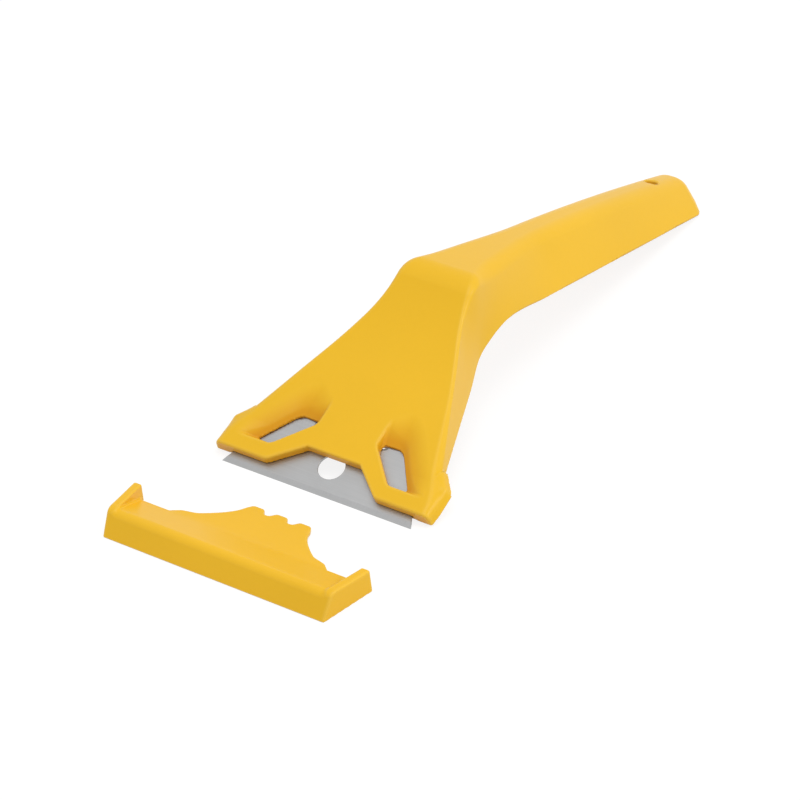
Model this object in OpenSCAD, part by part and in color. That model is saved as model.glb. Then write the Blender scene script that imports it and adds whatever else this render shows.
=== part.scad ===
// Razor blade scraper with a moulded handle, a slide-in trapezoid blade and a loose blade cover.
// Millimetres. X runs along the cutting edge, Y from the cover towards the handle's far end, Z up.
// The scraper rests on its cutting edge and on the far end of its handle, with the cover lying in front.

/* [Blade] */
// Length of the cutting edge
blade_edge = 60; // [54:1:61]
// Depth of the blade from its cutting edge to its back edge
blade_depth = 20.2; // [19.4:0.1:20.6]
// Thickness of the steel
blade_thick = 0.6; // [0.4:0.1:0.9]
// Lean of the slanted blade ends, in degrees away from square
blade_slant = 25; // [20:1:28]
// Diameter of the blade's centre hole
blade_hole_d = 7.6; // [5:0.1:9]
// Distance of the hole's centre behind the cutting edge
blade_hole_back = 8.9; // [8:0.1:11]
// Length of the ground bevel behind the cutting edge
grind_len = 1.6; // [0.8:0.1:2.4]
// Width of each nick in the blade's back edge
nick_w = 2.4; // [1.5:0.1:3]
// Depth of each nick
nick_depth = 1.2; // [0.8:0.1:2]
// Distance between the two nicks
nick_pitch = 21; // [14:0.5:22]

/* [Head] */
// Angle between the blade and the table
blade_pitch = 26; // [25:0.2:28]
// Distance of the head's front lip behind the cutting edge
lip_back = 3.4; // [3:0.1:4.4]
// Height of the head's face above the middle of the blade
face_lift = 3; // [2.6:0.1:3.4]
// Width of the head at its front lip
head_w = 68; // [67:0.2:68.8]
// Length of the rounded shoulder behind the lip
shoulder_len = 11.5; // [9:0.5:14]
// Width of the head where the shoulder ends
shoulder_w = 61.4; // [60.6:0.2:62.6]
// Distance from the lip to the start of the waist
waist_back = 52; // [49:1:54]
// Width of the head where the waist starts
waist_w = 29; // [28:0.2:32]
// Width of the face at the ridge
ridge_w = 23.6; // [20:0.2:24]
// Length of the flat part of the face behind the lip
flat_len = 34; // [31:1:37]
// Distance from the lip to the ridge, measured along the flat part
face_len = 68; // [66:0.5:70]
// Radius of the hollow curve that leads up to the ridge
neck_radius = 100; // [90:2:120]
// Radius of the rounded ridge
ridge_radius = 9; // [7:0.5:10]
// Depth of the head's lower edge below the middle of the blade at the lip
lip_drop = 1.1; // [0.9:0.1:1.3]
// Depth of the side walls below the middle of the blade where they start to deepen
skirt_drop = 2; // [1.8:0.1:2.4]
// Distance behind the cutting edge at which the side walls start to deepen
skirt_back = 19.7; // [18:0.1:22]
// Slope of the side walls' lower edge on the head
skirt_pitch = 10.6; // [8:0.5:12]
// Width of the head across its two ears
ear_w = 70; // [69.4:0.2:71]
// Length of the straight part of each ear
ear_len = 7.4; // [6:0.2:9]
// Distance of the ears' front corner behind the cutting edge
ear_back = 5.8; // [5.4:0.1:7]
// Height of each ear
ear_h = 0.9; // [0.6:0.1:1.6]

/* [Notch and windows] */
// Width of the notch at the lip
notch_front_w = 34.6; // [30:0.2:35.4]
// Width of the notch at its back
notch_back_w = 16.6; // [13:0.2:18]
// Depth of the notch behind the lip
notch_depth = 7.7; // [6:0.1:8]
// Distance of each window's inner edge from the middle
window_in = 9.4; // [8.8:0.1:10.4]
// Distance of each window's outer back corner from the middle
window_back_x = 16.2; // [14:0.1:18]
// Distance of each window's outer front corner from the middle
window_out = 28.9; // [27:0.1:29.6]
// Distance of each window's inner front corner from the middle
window_front_x = 18.8; // [18:0.1:20]
// Distance of the windows' front edge behind the cutting edge
window_front = 8.2; // [7.6:0.1:9.2]
// Distance of the windows' inner knee behind the cutting edge
window_knee = 18.4; // [16.5:0.1:19]
// Distance of the windows' back edge behind the cutting edge
window_back = 26.4; // [25.5:0.1:27.5]
// Run of the ramp at each window's back
ramp_back = 6.2; // [5.6:0.1:6.8]
// Run of the ramp at each window's outer side
ramp_out = 4.9; // [3:0.1:6]
// Run of the lean on each window's inner and front walls
ramp_in = 0.8; // [0.3:0.1:1.2]

/* [Blade seat] */
// Clearance above and below the blade in its slot
slot_gap = 0.2; // [0.1:0.05:0.3]
// Clearance round the blade's ends and back
seat_gap = 0.3; // [0.2:0.05:0.5]
// Width of the opening under the blade, between the two ledges
seat_open_w = 26; // [25.2:0.2:30]
// Distance of the ledges' front behind the cutting edge
seat_back = 7; // [6.6:0.1:9]

/* [Handle] */
// Distance along the table from the cutting edge to the handle's far end
scraper_len = 198; // [188:1:204]
// Slope of the handle's top at the ridge
handle_pitch = 9; // [8:0.1:10]
// Height of the handle's top at its far end, before the end's round
handle_end_h = 8.4; // [7.6:0.1:9.4]
// Distance along the table from the cutting edge to where the skirt's lower edge turns up
arch_from = 47; // [46:1:56]
// Distance along the table from the cutting edge to the top of the arch under the ridge
arch_top = 75; // [70:1:80]
// Height of the arch above the table
arch_h = 20.8; // [18:0.1:22]
// Distance along the table from the cutting edge to where the handle's lower edge runs straight
arch_to = 96; // [90:1:104]
// Length of the handle's lower edge that lies on the table
foot_len = 4; // [1:0.1:5]
// Width of the handle's top at the ridge, without its flare
grip_w = 11.8; // [11:0.1:12.6]
// Length behind the ridge over which the handle's top flares out to the ridge's width
flare_len = 43; // [36:1:48]
// Width of the handle's top at its far end
handle_end_w = 6.8; // [5.6:0.1:7]
// Width of the handle's lower edge at its far end
handle_foot_w = 24; // [20:0.2:24]
// Radius of the far end's two corners
end_corner_r = 9; // [6:0.2:9]
// Height of the round at the far end's top
end_nose = 2.4; // [0.8:0.1:2.4]
// Radius of the handle's rounded shoulders behind the ridge
handle_round = 4.8; // [4:0.1:5.2]
// Radius of the handle's rounded shoulders at its far end
handle_end_round = 6.4; // [5.6:0.1:7]
// Length behind the ridge over which the shoulders grow round
round_len = 24; // [16:1:28]
// Radius of the head's rounded edges
head_round = 1; // [0.6:0.1:1.6]
// Outward lean of the head's side walls, in degrees
draft = 4; // [3:0.5:6]
// Thickness of the moulded walls
wall = 2.2; // [1.8:0.1:2.4]

/* [Hanging hole] */
// Diameter of the hanging hole
hang_d = 4; // [3:0.1:4.4]
// Distance of the hanging hole's centre from the handle's far end
hang_back = 17.5; // [15:0.5:20]
// Diameter of the collar round the hanging hole
hang_collar_d = 7.4; // [7:0.1:7.6]
// Length of the hanging hole's wall
hang_len = 4; // [3.6:0.1:4.4]

/* [Cover] */
// Distance of the cover's front edge ahead of the cutting edge as it lies on the table
cover_away = 46.3; // [42:0.1:60]
// Width of the cover's base at its front
cover_front_w = 68.6; // [67.6:0.2:70]
// Width of the cover at its rear
cover_rear_w = 74; // [73.4:0.2:78]
// Depth of the cover's end walls on the table
cover_depth = 18.3; // [17.8:0.1:20]
// Height of the cover's front edge
cover_front_h = 7.3; // [7.1:0.1:8]
// Set-back of the cover's front edge above its base
cover_set = 3.3; // [2.8:0.1:4]
// Height of the cover's end walls at their rear
cover_post_h = 6.8; // [5.8:0.1:7.2]
// Slope of the cover's roof as it lies on the table
roof_pitch = 19; // [17:0.5:19.5]
// Thickness of the cover's roof and front wall
roof_thick = 1.5; // [1.3:0.1:1.6]
// Distance of the roof's rear edge behind the cover's front edge
roof_len = 16; // [15:0.1:16.4]
// Thickness of the cover's end walls beside its hollow
cover_wall = 1.4; // [1.2:0.1:1.8]
// Thickness of the end walls above the roof
post_wall = 2.5; // [2:0.1:3.2]
// Thickness of the thumb tab
tab_thick = 1.3; // [1:0.1:1.3]
// Slope of the thumb tab as the cover lies on the table
tab_pitch = 5.5; // [4:0.1:5.5]
// Width of the roof's raised middle at its rear edge
tab_root_w = 49.4; // [46:0.2:54]
// Width of the thumb tab at its base
tab_base_w = 36.7; // [34:0.1:40]
// Width of the thumb tab at its tip
tab_tip_w = 20.4; // [19:0.1:22]
// Length of the step between the roof's rear edge and the tab's base
tab_step = 3.4; // [2.6:0.1:3.4]
// Length of the thumb tab from its base to the roots of its teeth
tab_len = 10.1; // [8:0.1:10.1]
// Number of teeth on the thumb tab
teeth = 3; // [2:1:3]
// Length of the teeth
tooth_len = 2.2; // [1.5:0.1:2.4]
// Width of each tooth at its root
tooth_root_w = 5.8; // [5:0.1:6]
// Width of each tooth at its tip
tooth_tip_w = 3.4; // [2.5:0.1:4.5]

/* [Hidden] */
$fn = 64;
over = 2;
body_colour = [0.94, 0.73, 0.16];
steel_colour = [0.72, 0.73, 0.74];

// The middle of the whole part's length lies over the origin.
mid_y = (scraper_len - cover_away) / 2;

// Head outline: half the face's width at a distance v behind the lip.
taper = (shoulder_w - waist_w) / 2 / (waist_back - shoulder_len);
waist_len = (waist_w - ridge_w) / taper;
function shoulder_half(v) = (head_w - (head_w - shoulder_w) * pow(max(v, 0) / shoulder_len, 2)) / 2;
function waist_half(s) = waist_w / 2 - taper * s + taper * s * s / waist_len / 2;
function face_half(v) =
    v < shoulder_len ? shoulder_half(v)
    : v < waist_back ? shoulder_w / 2 - taper * (v - shoulder_len)
    : waist_half(min(v - waist_back, waist_len));

// Height of the face above the blade's middle at a distance v behind the lip.
function face_w(v) =
    v < flat_len ? face_lift
    : face_lift + neck_radius - sqrt(pow(neck_radius, 2) - pow(v - flat_len, 2));

// A point v behind the cutting edge and w above the blade's middle, as [y, z] on the table.
function on_table(v, w) =
    [v * cos(blade_pitch) - w * sin(blade_pitch), v * sin(blade_pitch) + w * cos(blade_pitch)];

// The face's slope turns from the blade's pitch, through the hollow neck and over the ridge, to the handle's.
neck_turn = asin((face_len - flat_len) / neck_radius);
neck_pitch = blade_pitch + neck_turn;
ridge = on_table(lip_back + face_len, face_w(face_len));
ridge_turn = neck_pitch + handle_pitch;
ridge_cut = ridge_radius * tan(ridge_turn / 2);
neck_end = neck_turn - 2 * asin(ridge_cut / neck_radius / 2);
ridge_start = ridge - ridge_cut * [cos(neck_pitch), sin(neck_pitch)];
ridge_centre = ridge_start + ridge_radius * [sin(neck_pitch), -cos(neck_pitch)];
handle_start = ridge + ridge_cut * [cos(handle_pitch), -sin(handle_pitch)];

// Top of the handle: a line that falls more steeply towards the far end, a width that flares out towards
// the ridge, and shoulders that grow rounder.
handle_run = scraper_len - ridge[0];
steepening = 2 * (ridge[1] - handle_end_h - handle_run * tan(handle_pitch)) / pow(handle_run, 2);
function along_handle(y) = (y - ridge[0]) / handle_run;
function handle_slope(y) = tan(handle_pitch) + steepening * (y - ridge[0]);
function handle_top(y) =
    ridge[1] - (y - ridge[0]) * tan(handle_pitch) - steepening * pow(y - ridge[0], 2) / 2;
function handle_flare(y) = pow(max(0, 1 - max(0, y - ridge[0]) / flare_len), 1.3);
function handle_half(y) =
    (grip_w + (handle_end_w - grip_w) * max(0, along_handle(y)) + (ridge_w - grip_w) * handle_flare(y)) / 2;
function ease(u) = let (s = min(1, max(0, u))) s * s * (3 - 2 * s);
function handle_shoulder(y) =
    head_round + (handle_round - head_round) * ease((y - ridge_start[0]) / round_len)
    + (handle_end_round - handle_round) * max(0, along_handle(y));

// Lower edge of the side walls, as a height above the table: straight under the head, an arch under
// the ridge, straight under the handle, and flat on the table at the far end.
skirt_from = on_table(skirt_back, -skirt_drop);
lip_from = on_table(lip_back, -lip_drop);
lip_slope = (skirt_from[1] - lip_from[1]) / (skirt_from[0] - lip_from[0]);
keel_slope = arch_h / (scraper_len - foot_len - arch_top) * 1.01;
function skirt_z(y) = skirt_from[1] + (y - skirt_from[0]) * tan(skirt_pitch);
function keel_z(y) = max(0, (scraper_len - foot_len - y) * keel_slope);
function blend(u, a, b, slope_a, slope_b) =
    a * (1 - 3 * u * u + 2 * pow(u, 3)) + b * (3 * u * u - 2 * pow(u, 3))
    + slope_a * (u - 2 * u * u + pow(u, 3)) + slope_b * (pow(u, 3) - u * u);
function lower_z(y) =
    y < skirt_from[0] ? skirt_from[1] + (y - skirt_from[0]) * lip_slope
    : y < arch_from ? skirt_z(y)
    : y < arch_top ? blend((y - arch_from) / (arch_top - arch_from), skirt_z(arch_from), arch_h,
        tan(skirt_pitch) * (arch_top - arch_from), 0)
    : y < arch_to ? blend((y - arch_top) / (arch_to - arch_top), arch_h, keel_z(arch_to),
        0, -keel_slope * (arch_to - arch_top))
    : keel_z(y);

// Half the width across the lower edges: the face's own outline, widened by the side walls' lean.
function head_lower_half(y) = let (
    z = lower_z(y),
    v = y * cos(blade_pitch) + z * sin(blade_pitch) - lip_back,
    w = z * cos(blade_pitch) - y * sin(blade_pitch))
    face_half(v) + (face_w(v) - w) * tan(draft);
function lower_half(y) =
    y < ridge[0] ? head_lower_half(y)
    : head_lower_half(ridge[0])
        + (handle_foot_w / 2 - head_lower_half(ridge[0])) * along_handle(min(y, scraper_len));

// Rows of the moulding's skin, its top set inwards by t from the outer one. A row is [y, top height, half
// width at the top, corner radius, half width at the lower edge, how far its walls are set inwards].
flat_steps = 7;
neck_steps = 8;
ridge_steps = 6;
handle_steps = 10;
end_steps = 7;
corner_steps = 6;
function flat_row(v, t) = let (p = on_table(lip_back + v, face_lift - t))
    [p[0], p[1], face_half(v), head_round, lower_half(p[0]), t];
function neck_row(a, t) = let (
    v = flat_len + neck_radius * sin(a),
    r = neck_radius + t,
    p = on_table(lip_back + flat_len + r * sin(a), face_lift + neck_radius - r * cos(a)))
    [p[0], p[1], face_half(v), head_round, lower_half(p[0]), t];
function ridge_row(a, t) = let (p = ridge_centre + (ridge_radius - t) * [-sin(a), cos(a)])
    [p[0], p[1], handle_half(p[0]), handle_shoulder(p[0]), lower_half(p[0]), t];
function handle_row(y, t) =
    [y, handle_top(y) - t * norm([1, handle_slope(y)]), handle_half(y), handle_shoulder(y), lower_half(y), t];
function end_row(a, t) = let (
    y = scraper_len - end_corner_r + (end_corner_r - t) * sin(a),
    foot = lower_half(y),
    drawn = foot - end_corner_r * (1 - cos(a)),
    top = handle_top(y) - t * norm([1, handle_slope(y)]) - end_nose * (1 - cos(a)))
    [y, top, handle_half(y) * drawn / foot, handle_shoulder(y), drawn, t * cos(a)];
function skin_rows(flat_from, t) = concat(
    [for (i = [0:flat_steps - 1]) flat_row(flat_from + (flat_len - flat_from) * i / flat_steps, t)],
    [for (i = [0:neck_steps - 1]) neck_row(neck_end * i / neck_steps, t)],
    [for (i = [0:ridge_steps]) ridge_row(neck_pitch - ridge_turn * i / ridge_steps, t)],
    [for (i = [1:handle_steps - 1]) handle_row(handle_start[0]
        + (scraper_len - end_corner_r - handle_start[0]) * pow(i / handle_steps, 1.7), t)],
    [for (i = [0:end_steps]) end_row(90 * i / end_steps, t)]);

// A row's section: its lower right corner, round the top, to its lower left corner.
// The lower corners lie deeper than the walls' lower edge by the given depth.
function row_side(row, deeper) = let (
    bottom = lower_z(row[0]),
    t = row[5],
    lean = (row[4] - row[2]) / (row[1] + t - bottom),
    d = atan(lean),
    half = row[2] + t * lean - t / cos(d),
    r = min(max(row[3] - t, head_round / 2), 0.95 * half * tan(45 + d / 2)),
    x = half - r / tan(45 + d / 2))
    concat([[row[4] - t / cos(d) + deeper * lean, bottom - deeper]],
        [for (i = [0:corner_steps]) let (a = d + (90 - d) * i / corner_steps)
            [x + r * cos(a), row[1] - r + r * sin(a)]]);
function row_ring(row, deeper) = let (half = row_side(row, deeper), n = len(half))
    concat([for (p = half) [p[0], row[0], p[1]]],
        [for (i = [n - 1:-1:0]) [-half[i][0], row[0], half[i][1]]]);

// A closed skin through rings that each have the same number of points.
module skin(rings) {
    n = len(rings[0]);
    last = len(rings) - 1;
    points = [for (ring = rings, p = ring) p];
    sides = [for (i = [0:last - 1], j = [0:n - 1], half = [0, 1]) let (
        a = i * n + j,
        b = i * n + (j + 1) % n)
        half == 0 ? [a, b, b + n] : [a, b + n, a + n]];
    front = [for (j = [n - 1:-1:0]) j];
    back = [for (j = [0:n - 1]) last * n + j];
    polyhedron(points, concat(sides, [front, back]));
}

// Puts a shape drawn flat, with Y behind the cutting edge and Z above the blade, on the blade's plane.
module on_blade() {
    rotate([blade_pitch, 0, 0]) children();
}

// Carries a side view, drawn as [y, z], across the part.
module across(width) {
    rotate([90, 0, 90]) linear_extrude(width, center = true) children();
}

// Half the blade's length at a distance v behind the cutting edge.
function blade_half(v) = blade_edge / 2 - v * tan(blade_slant);

module blade_plan() {
    difference() {
        polygon([[-blade_half(0), 0], [blade_half(0), 0],
            [blade_half(blade_depth), blade_depth], [-blade_half(blade_depth), blade_depth]]);
        translate([0, blade_hole_back]) circle(d = blade_hole_d);
        for (side = [-1, 1])
            translate([side * nick_pitch / 2 - nick_w / 2, blade_depth - nick_depth])
                square([nick_w, nick_depth + over]);
    }
}

module blade() {
    t = blade_thick / 2;
    color(steel_colour) translate([0, -mid_y, 0]) on_blade() intersection() {
        translate([0, 0, -t]) linear_extrude(blade_thick) blade_plan();
        across(blade_edge + over) polygon([[0, 0], [grind_len, -t], [blade_depth + over, -t],
            [blade_depth + over, t], [grind_len, t]]);
    }
}

// The slot that the blade slides into from the front.
slot_h = blade_thick + 2 * slot_gap;
slot_back = blade_depth + seat_gap;
module blade_slot() {
    reach = seat_gap / cos(blade_slant);
    translate([0, 0, -slot_h / 2]) linear_extrude(slot_h)
        polygon([[-blade_half(-over) - reach, -over], [blade_half(-over) + reach, -over],
            [blade_half(slot_back) + reach, slot_back], [-blade_half(slot_back) - reach, slot_back]]);
}

// The block under the blade, and the opening that parts it into two ledges.
module seat() {
    back = slot_back + wall;
    front_half = face_half(seat_back - lip_back) - wall / 2;
    back_half = face_half(back - lip_back) - wall / 2;
    translate([0, 0, -skirt_drop]) linear_extrude(skirt_drop)
        polygon([[-front_half, seat_back], [front_half, seat_back], [back_half, back], [-back_half, back]]);
}

module seat_opening() {
    depth = skirt_drop + over;
    translate([-seat_open_w / 2, 0, -depth]) cube([seat_open_w, slot_back, depth]);
}

module notch() {
    run = (notch_front_w - notch_back_w) / 2 / notch_depth;
    front = notch_front_w / 2 + run * lip_back;
    back = lip_back + notch_depth;
    linear_extrude(face_lift + over) polygon([[-front, 0], [front, 0],
        [notch_back_w / 2, back], [-notch_back_w / 2, back]]);
}

// One window: five walls that lean in from its outline on the face to the blade below.
module window() {
    rise = (face_lift + over) / face_lift;
    face = [[window_in, window_back - 0.5 * ramp_in], [window_back_x, window_back],
        [window_out, window_front], [window_front_x, window_front], [window_in, window_knee]];
    foot = [[window_in + ramp_in, window_back - ramp_back], [window_back_x, window_back - ramp_back],
        [window_out - ramp_out, window_front + ramp_in], [window_front_x - ramp_in, window_front + ramp_in],
        [window_in + ramp_in, window_knee - ramp_in]];
    n = len(face);
    points = concat([for (p = foot) [p[0], p[1], 0]],
        [for (i = [0:n - 1]) let (p = foot[i] + rise * (face[i] - foot[i])) [p[0], p[1], face_lift + over]]);
    walls = [for (j = [0:n - 1], half = [0, 1]) let (k = (j + 1) % n)
        half == 0 ? [j, k, k + n] : [j, k + n, j + n]];
    polyhedron(points, concat(walls, [[for (j = [n - 1:-1:0]) j], [for (j = [0:n - 1]) n + j]]));
}

// An ear: the head's front corner, swollen outwards at its foot.
module ear() {
    inside = shoulder_w / 2 - wall;
    swell = (ear_w - head_w) / 2;
    translate([0, 0, -lip_drop]) linear_extrude(ear_h)
        polygon([[inside, lip_back], [head_w / 2, lip_back], [ear_w / 2, ear_back],
            [ear_w / 2, ear_back + ear_len], [ear_w / 2 - 2 * swell, ear_back + ear_len + 2 * swell],
            [inside, ear_back + ear_len]]);
}

hang_y = scraper_len - hang_back;
hang_pitch = atan(handle_slope(hang_y));
module at_hanging_hole() {
    translate([0, hang_y, handle_top(hang_y)]) rotate([-hang_pitch, 0, 0]) children();
}

module handle() {
    hollow_from = slot_back + 2 * wall - lip_back;
    outer = skin_rows(-lip_back - over, 0);
    inner = skin_rows(hollow_from, wall);
    color(body_colour) translate([0, -mid_y, 0]) difference() {
        union() {
            difference() {
                skin([for (row = outer) row_ring(row, 0)]);
                skin([for (row = inner) row_ring(row, over)]);
            }
            on_blade() seat();
            for (side = [0, 1]) mirror([side, 0, 0]) on_blade() ear();
            at_hanging_hole() translate([0, 0, -hang_len])
                cylinder(d = hang_collar_d, h = hang_len - 0.7 * wall);
        }
        on_blade() {
            translate([-head_w, lip_back - head_w, -head_w / 2]) cube([2 * head_w, head_w, head_w]);
            notch();
            blade_slot();
            seat_opening();
            for (side = [0, 1]) mirror([side, 0, 0]) window();
        }
        at_hanging_hole() translate([0, 0, -hang_len - over]) cylinder(d = hang_d, h = hang_len + 2 * over);
    }
}

// Cover, drawn as it lies: y from the front edge of its base, z above the table.
function roof_z(y) = cover_front_h - (y - cover_set) * tan(roof_pitch);
roof_rise = roof_thick / cos(roof_pitch);
tab_rise = tab_thick / cos(tab_pitch);
tab_base = roof_len + tab_step;
tab_root = tab_base + tab_len;
tab_tip = tab_root + tooth_len;
function tab_z(y) = roof_z(roof_len) - (y - roof_len) * tan(tab_pitch);

// Plan of the cover's walls, drawn in by t at each end.
module cover_plan(t) {
    spread = (cover_rear_w - cover_front_w) / 2 / cover_depth;
    rear = cover_rear_w / 2 - t + spread * over;
    front = cover_front_w / 2 - t - spread * over;
    polygon([[-front, -over], [front, -over], [rear, cover_depth + over], [-rear, cover_depth + over]]);
}

module cover_end_view() {
    polygon([[0, 0], [cover_set, cover_front_h], [cover_depth - 0.15 * cover_post_h, cover_post_h],
        [cover_depth, 0]]);
}

module cover_hollow_view() {
    lean = cover_set / cover_front_h;
    front_run = roof_thick * sqrt(1 + lean * lean);
    meet_z = (cover_front_h + cover_set * tan(roof_pitch) - roof_rise - front_run * tan(roof_pitch))
        / (1 + lean * tan(roof_pitch));
    polygon([[front_run - lean * over, -over], [front_run + lean * meet_z, meet_z],
        [cover_depth + over, roof_z(cover_depth + over) - roof_rise],
        [cover_depth + over, -2 * over]]);
}

// Right edge of the thumb tab: a curve that narrows from its base to its tip.
tab_steps = 5;
tab_side = [for (i = [0:tab_steps]) let (s = i / tab_steps)
    [tab_tip_w / 2 + (tab_base_w - tab_tip_w) / 2 * pow(1 - s, 2), tab_base + tab_len * s]];
tab_right = concat([[tab_root_w / 2, roof_len - over], [tab_root_w / 2, roof_len],
    [(tab_root_w + tab_base_w) / 4 + tab_step / 4, roof_len + 2 / 3 * tab_step]], tab_side);

module tab_plan() {
    pitch = (tab_tip_w - tooth_root_w) / (teeth - 1);
    polygon(concat(tab_right, [for (i = [len(tab_right) - 1:-1:0]) [-tab_right[i][0], tab_right[i][1]]]));
    for (i = [0:teeth - 1]) translate([(i - (teeth - 1) / 2) * pitch, tab_root])
        polygon([[-tooth_root_w / 2, -over / 2], [tooth_root_w / 2, -over / 2], [tooth_root_w / 2, 0],
            [tooth_tip_w / 2, tooth_len], [-tooth_tip_w / 2, tooth_len], [-tooth_root_w / 2, 0]]);
}

module cover() {
    tall = cover_front_h + over;
    far = cover_depth + over;
    color(body_colour) translate([0, -cover_away - mid_y, 0]) union() {
        difference() {
            intersection() {
                across(cover_rear_w + over) cover_end_view();
                linear_extrude(tall) cover_plan(0);
            }
            intersection() {
                across(cover_rear_w) polygon([[cover_set, cover_front_h], [cover_set, tall + over],
                    [far, tall + over], [far, roof_z(far)]]);
                linear_extrude(tall + over) cover_plan(post_wall);
            }
            intersection() {
                across(cover_rear_w) cover_hollow_view();
                translate([0, 0, -over]) linear_extrude(tall) cover_plan(cover_wall);
            }
            intersection() {
                translate([-cover_rear_w / 2, roof_len, -over]) cube([cover_rear_w, far, tall + 2 * over]);
                translate([0, 0, -over]) linear_extrude(tall + 2 * over) cover_plan(post_wall);
            }
        }
        intersection() {
            across(cover_rear_w) polygon([[roof_len - over, tab_z(roof_len - over) - tab_rise],
                [roof_len - over, tab_z(roof_len - over)], [tab_tip + over, tab_z(tab_tip + over)],
                [tab_tip + over, tab_z(tab_tip + over) - tab_rise]]);
            translate([0, 0, -over]) linear_extrude(tall) tab_plan();
        }
    }
}

handle();
blade();
cover();
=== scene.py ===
# %% [markdown]
# # A razor blade scraper, piece by piece
# The real tool is three pieces: one yellow moulding that is head and handle at once, a trapezoid steel
# blade that slides into the head from the front, and a loose yellow cover that lies in front of it.
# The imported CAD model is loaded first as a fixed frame. It gives the place and the size of everything,
# and the pieces below take the place of its plain solids one by one.

import bpy
import numpy as np
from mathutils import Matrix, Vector


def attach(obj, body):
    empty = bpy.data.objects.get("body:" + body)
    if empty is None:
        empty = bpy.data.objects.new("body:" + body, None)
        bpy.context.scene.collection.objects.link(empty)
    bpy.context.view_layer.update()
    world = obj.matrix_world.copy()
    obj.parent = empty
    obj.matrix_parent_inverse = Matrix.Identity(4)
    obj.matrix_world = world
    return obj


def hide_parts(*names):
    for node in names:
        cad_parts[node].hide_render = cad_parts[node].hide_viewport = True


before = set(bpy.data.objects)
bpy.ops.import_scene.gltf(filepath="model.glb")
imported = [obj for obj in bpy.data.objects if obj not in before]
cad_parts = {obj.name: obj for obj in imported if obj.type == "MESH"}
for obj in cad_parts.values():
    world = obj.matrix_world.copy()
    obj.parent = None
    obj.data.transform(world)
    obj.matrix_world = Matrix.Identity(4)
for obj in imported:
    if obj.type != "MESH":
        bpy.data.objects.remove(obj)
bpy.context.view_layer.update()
print("CAD nodes:", sorted(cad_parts))

# %% [markdown]
# ## Two ways of measuring
# Everything is worked out in millimetres on the table, with y counted from the cutting edge, and turned
# into metres at the very end. The head leans at the blade's angle, so it gets a frame of its own: v runs
# back from the cutting edge along the blade, and w stands up from the middle of the steel.

# %% Frames of the table and of the blade
MM = 0.001
MID_Y = 75.85
COVER_Y = -46.3
BLADE_PITCH = np.radians(26.0)


def along_blade(y, z):
    """Turns table y and z by the blade's pitch: v is the run along the blade, w the height above it."""
    return (y * np.cos(BLADE_PITCH) + z * np.sin(BLADE_PITCH),
            z * np.cos(BLADE_PITCH) - y * np.sin(BLADE_PITCH))


def on_table(v, w):
    """The turn back: table y and z of a point v along the blade and w above it."""
    return (v * np.cos(BLADE_PITCH) - w * np.sin(BLADE_PITCH),
            v * np.sin(BLADE_PITCH) + w * np.cos(BLADE_PITCH))


print("blade frame leans by", round(float(np.degrees(BLADE_PITCH)), 1), "degrees")

# %% [markdown]
# ## Rounded joining of distances
# A moulding has no sharp edge: the mould is polished and the plastic shrinks. Beveling edges after cutting
# windows into a mesh is fragile, so the shapes are written as distances instead: negative inside the
# plastic, positive outside. Two distances then join with a fillet, because near the edge the corner of the
# two is replaced by a circle of the wanted radius.

# %% Fillets between two distances
TINY, FAR = 1e-9, 1e9


def both(a, b, r):
    """Where a and b hold together: max(a, b), with a circle of radius r in place of the corner."""
    return np.minimum(np.maximum(a, b), -r) + np.hypot(np.maximum(a + r, 0), np.maximum(b + r, 0))


def either(a, b, r):
    """Where a or b holds: min(a, b), with a hollow circle of radius r in place of the corner."""
    return np.maximum(np.minimum(a, b), r) - np.hypot(np.maximum(r - a, 0), np.maximum(r - b, 0))


def without(a, b, r):
    """What is left of a when b is taken out, with the edge rounded by r."""
    return both(a, -b, r)


def both_leaning(a, b, r, c):
    """Where a and b hold together when their faces don't meet squarely: c is the cosine of the angle
    between their normals, and a true circle of radius r takes the corner."""
    u, v = a + r, b + r
    arc = np.sqrt(np.maximum(u * u + v * v - 2 * c * u * v, 0) / (1 - c * c)) - r
    return np.where((u > c * v) & (v > c * u), arc, np.maximum(a, b))


print("fillet of 1 mm at a square corner:", round(float(both(-1.0, -1.0, 1.0)), 3))

# %% Outlines in the plan


def outline_distance(x, y, corners):
    """Signed distance to a closed outline: the least distance to its sides, negative where an odd number
    of sides lies to the right of the point."""
    x, y = np.broadcast_arrays(x, y)
    least = np.full(x.shape, FAR)
    odd = np.zeros(x.shape, bool)
    for (ax, ay), (bx, by) in zip(corners, np.roll(corners, -1, axis=0)):
        dx, dy = bx - ax, by - ay
        t = np.clip(((x - ax) * dx + (y - ay) * dy) / max(dx * dx + dy * dy, TINY), 0, 1)
        least = np.minimum(least, (x - ax - t * dx) ** 2 + (y - ay - t * dy) ** 2)
        cross = (ay > y) != (by > y)
        odd ^= cross & (x < ax + (y - ay) * dx / (dy if dy else TINY))
    return np.where(odd, -1, 1) * np.sqrt(least)


def soft_corners(corners, cut, steps=5):
    """Rounds an outline: each corner becomes a parabola between the points a distance cut before and
    after it, or half the side where that is shorter."""
    p = np.asarray(corners, float)
    before, after = np.roll(p, 1, axis=0) - p, np.roll(p, -1, axis=0) - p
    reach = [np.minimum(cut / np.linalg.norm(d, axis=1), 0.5)[:, None] * d for d in (before, after)]
    t = np.linspace(0, 1, steps)[None, :, None]
    a, b = (p + reach[0])[:, None], (p + reach[1])[:, None]
    return ((1 - t) ** 2 * a + 2 * t * (1 - t) * p[:, None] + t * t * b).reshape(-1, 2)


square = soft_corners([(-5, -5), (5, -5), (5, 5), (-5, 5)], 1.0)
print("a soft 10 mm square: corner at", round(float(outline_distance(5.0, 5.0, square)), 3), "mm outside")

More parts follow.
